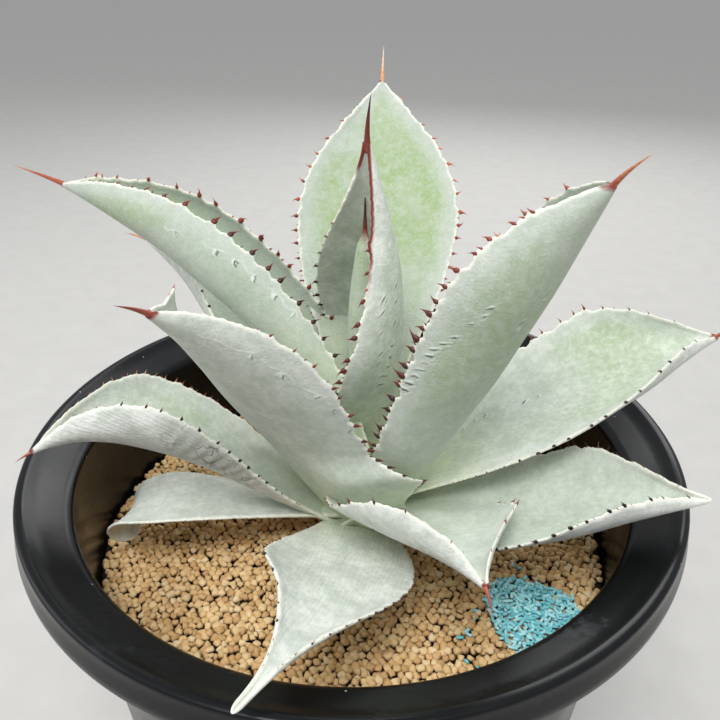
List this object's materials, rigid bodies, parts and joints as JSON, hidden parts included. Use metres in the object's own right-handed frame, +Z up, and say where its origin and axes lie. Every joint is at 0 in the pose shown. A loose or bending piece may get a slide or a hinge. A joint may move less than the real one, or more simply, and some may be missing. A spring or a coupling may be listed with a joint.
{
  "type": "potted agave",
  "caption": "Agave rosette of thick toothed leaves with end spines, growing in a black plastic pot filled with gritty clay soil; stands on its flat foot.",
  "frame": {"origin": "middle of the pot's underside, on the surface that it stands on", "axes": "+Z up along the pot's axis; -Y is the side that faced the camera and +X is to the right of it"},
  "size_m": [0.2814, 0.2558, 0.3387],
  "materials": {
    "black_plastic": "semi-gloss black moulded plastic with dust and dried water marks",
    "clay_grit": "matt tan fired clay grit",
    "blue_pellets": "matt turquoise coated granules",
    "trunk": "matt grey-green stem",
    "leaf_skin": "pale silvery blue-green skin under a powdery white bloom",
    "thorn": "hard red-brown thorn, paler towards its point"
  },
  "bodies": {
    "root": {"pot": "black_plastic", "soil": "clay_grit", "feed_granules": "blue_pellets", "stem": "trunk", "heart_leaf": "leaf_skin", "heart_spine": "thorn", "spine_01_bud": "thorn", "spine_02_back": "thorn", "spine_03_left_high": "thorn", "spine_04_right_high": "thorn", "spine_05_left_back": "thorn", "spine_06_left_front": "thorn", "spine_07_right": "thorn", "spine_08_left_arching": "thorn", "spine_10_front_right": "thorn", "spine_13_back_right": "thorn", "spine_14_back_left": "thorn", "spine_15_back_low": "thorn", "leaf_01_bud": "leaf_skin", "leaf_02_back": "leaf_skin", "leaf_03_left_high": "leaf_skin", "leaf_04_right_high": "leaf_skin", "leaf_05_left_back": "leaf_skin", "leaf_06_left_front": "leaf_skin", "leaf_07_right": "leaf_skin", "leaf_08_left_arching": "leaf_skin", "leaf_09_right_low": "leaf_skin", "leaf_10_front_right": "leaf_skin", "leaf_11_left_low": "leaf_skin", "leaf_12_front_low": "leaf_skin", "leaf_13_back_right": "leaf_skin", "leaf_14_back_left": "leaf_skin", "leaf_15_back_low": "leaf_skin"}
  },
  "joints": []
}
